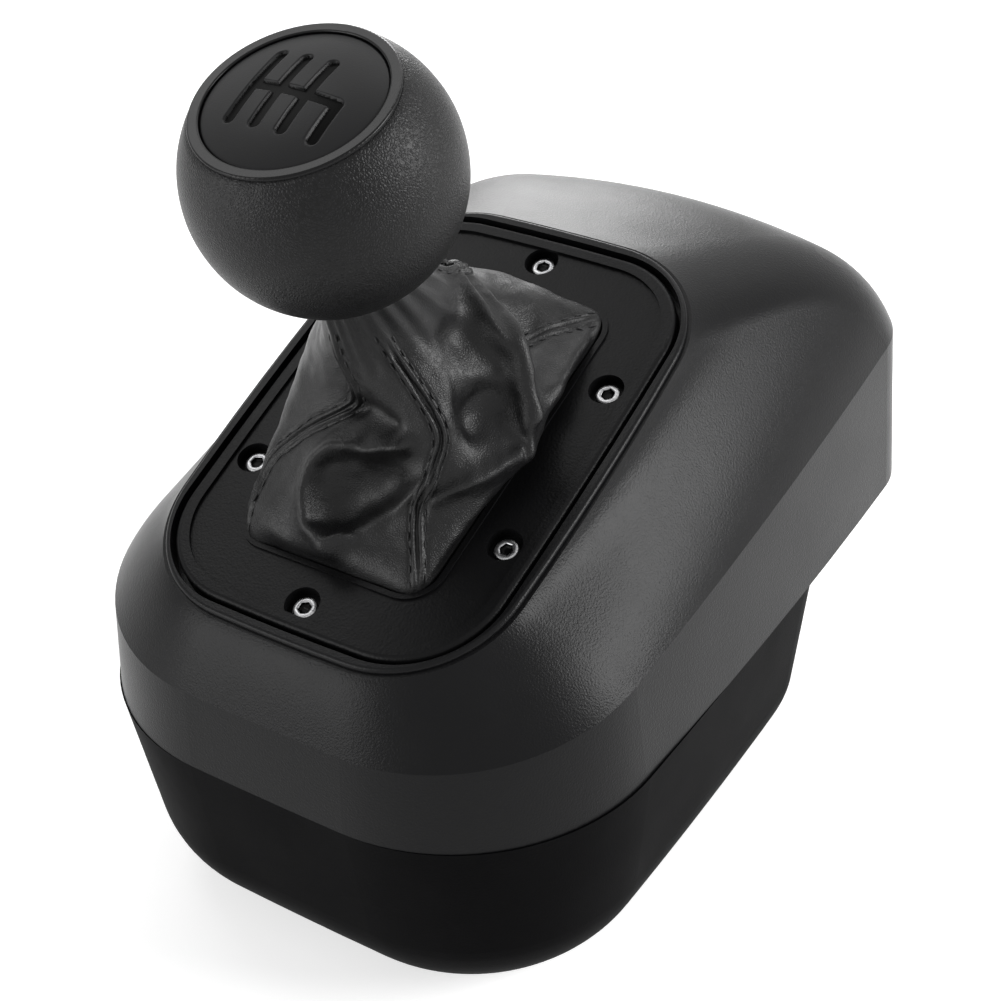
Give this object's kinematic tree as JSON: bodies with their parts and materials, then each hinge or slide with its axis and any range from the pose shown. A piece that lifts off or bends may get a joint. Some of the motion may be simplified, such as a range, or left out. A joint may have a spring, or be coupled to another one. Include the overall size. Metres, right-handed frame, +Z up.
{
  "type": "sim racing gear shifter",
  "caption": "H-pattern gear shifter for sim racing: ball knob on a gimballed lever, leather boot in a sloping face plate, rounded housing with screw clamps for a table edge.",
  "frame": {"origin": "middle of the underside of the housing", "axes": "+Y away from the driver, along the housing, +X to the driver's right, +Z up"},
  "size_m": [0.132, 0.186, 0.2024],
  "materials": {
    "housing_plastic": "satin black moulded plastic with a fine grain",
    "plate_plastic": "fine-grained black plastic",
    "boot_leather": "soft black leather with lapped seams",
    "knob_leather": "grained black leather",
    "knob_trim": "semi-gloss black",
    "cap_satin": "smooth satin black",
    "pattern_gloss": "gloss black",
    "core_plastic": "plain",
    "bright_steel": "zinc-plated",
    "black_steel": "black paint",
    "spring_steel": "drawn wire",
    "cast_alloy": "die-cast",
    "brass": "turned",
    "nylon": "natural nylon",
    "black_nylon": "plain",
    "soft_rubber": "matte",
    "board_green": "solder mask",
    "sensor_blue": "plain"
  },
  "bodies": {
    "housing": {"upper_shell": "housing_plastic", "lower_shell": "housing_plastic", "case_screws": "bright_steel", "table_pads": "soft_rubber", "rig_inserts": "brass", "cable_grommet": "soft_rubber", "face_plate": "plate_plastic", "plate_screws": "bright_steel", "boot": "boot_leather", "boot_frame": "black_nylon", "mechanism_frame": "cast_alloy", "pivot_bushes": "nylon", "fore_aft_bracket": "bright_steel", "fore_aft_pot": "sensor_blue", "gate_plate": "bright_steel", "gate_screws": "bright_steel", "switch_board": "board_green", "reverse_switch": "black_nylon", "circuit_board": "board_green", "board_header": "nylon", "control_chip": "black_nylon", "board_screws": "bright_steel"},
    "yoke": {"yoke": "cast_alloy", "left_right_bracket": "bright_steel", "left_right_pot": "sensor_blue", "centring_spring": "spring_steel"},
    "lever_hub": {"lever_hub": "cast_alloy", "hub_pins": "bright_steel", "reverse_spring": "spring_steel"},
    "lever": {"lever_rod": "bright_steel", "retaining_clip": "spring_steel", "spring_collar": "black_nylon", "boot_collar": "black_nylon", "knob_core": "core_plastic", "knob_insert": "brass", "knob_cover": "knob_leather", "knob_ring": "knob_trim", "knob_cap": "cap_satin", "shift_pattern": "pattern_gloss"},
    "left_screw": {"left_clamp_knob": "black_nylon", "left_clamp_screw": "bright_steel", "left_clamp_ring": "spring_steel"},
    "left_jaw": {"left_clamp_jaw": "black_steel", "left_clamp_nut": "bright_steel", "left_jaw_pad": "soft_rubber"},
    "right_screw": {"right_clamp_knob": "black_nylon", "right_clamp_screw": "bright_steel", "right_clamp_ring": "spring_steel"},
    "right_jaw": {"right_clamp_jaw": "black_steel", "right_clamp_nut": "bright_steel", "right_jaw_pad": "soft_rubber"}
  },
  "joints": [
    {"name": "shift_fore_aft", "type": "hinge", "parent": "housing", "child": "yoke", "pos_m": [0, -0.01431, 0.07368], "axis": [1, 0, 0], "range_deg": [-14, 14], "deforming": ["boot"]},
    {"name": "gate_left_right", "type": "hinge", "parent": "yoke", "child": "lever_hub", "pos_m": [0, -0.01431, 0.07368], "axis": [0, 0.9426, 0.3338], "range_deg": [-11, 11], "stiffness_Nm_per_rad": 0.5, "deforming": ["boot", "centring_spring"]},
    {"name": "reverse_push", "type": "slide", "parent": "lever_hub", "child": "lever", "axis": [0, 0.3338, -0.9426], "range_m": [0, 0.006], "stiffness_N_per_m": 1500, "springref_m": -0.005, "deforming": ["boot", "reverse_spring"]},
    {"name": "left_clamp_turn", "type": "hinge", "parent": "housing", "child": "left_screw", "pos_m": [-0.038, 0.018, 0.02], "axis": [0, 0, -1], "range_deg": [0, 2340]},
    {"name": "left_jaw_lift", "type": "slide", "parent": "housing", "child": "left_jaw", "axis": [0, 0, 1], "range_m": [0, 0.026]},
    {"name": "right_clamp_turn", "type": "hinge", "parent": "housing", "child": "right_screw", "pos_m": [0.038, 0.018, 0.02], "axis": [0, 0, -1], "range_deg": [0, 2340]},
    {"name": "right_jaw_lift", "type": "slide", "parent": "housing", "child": "right_jaw", "axis": [0, 0, 1], "range_m": [0, 0.026]}
  ],
  "couplings": [
    {"joint": "left_clamp_turn", "follows": "left_jaw_lift", "rad_per_m": 1570.8},
    {"joint": "right_clamp_turn", "follows": "right_jaw_lift", "rad_per_m": 1570.8}
  ]
}
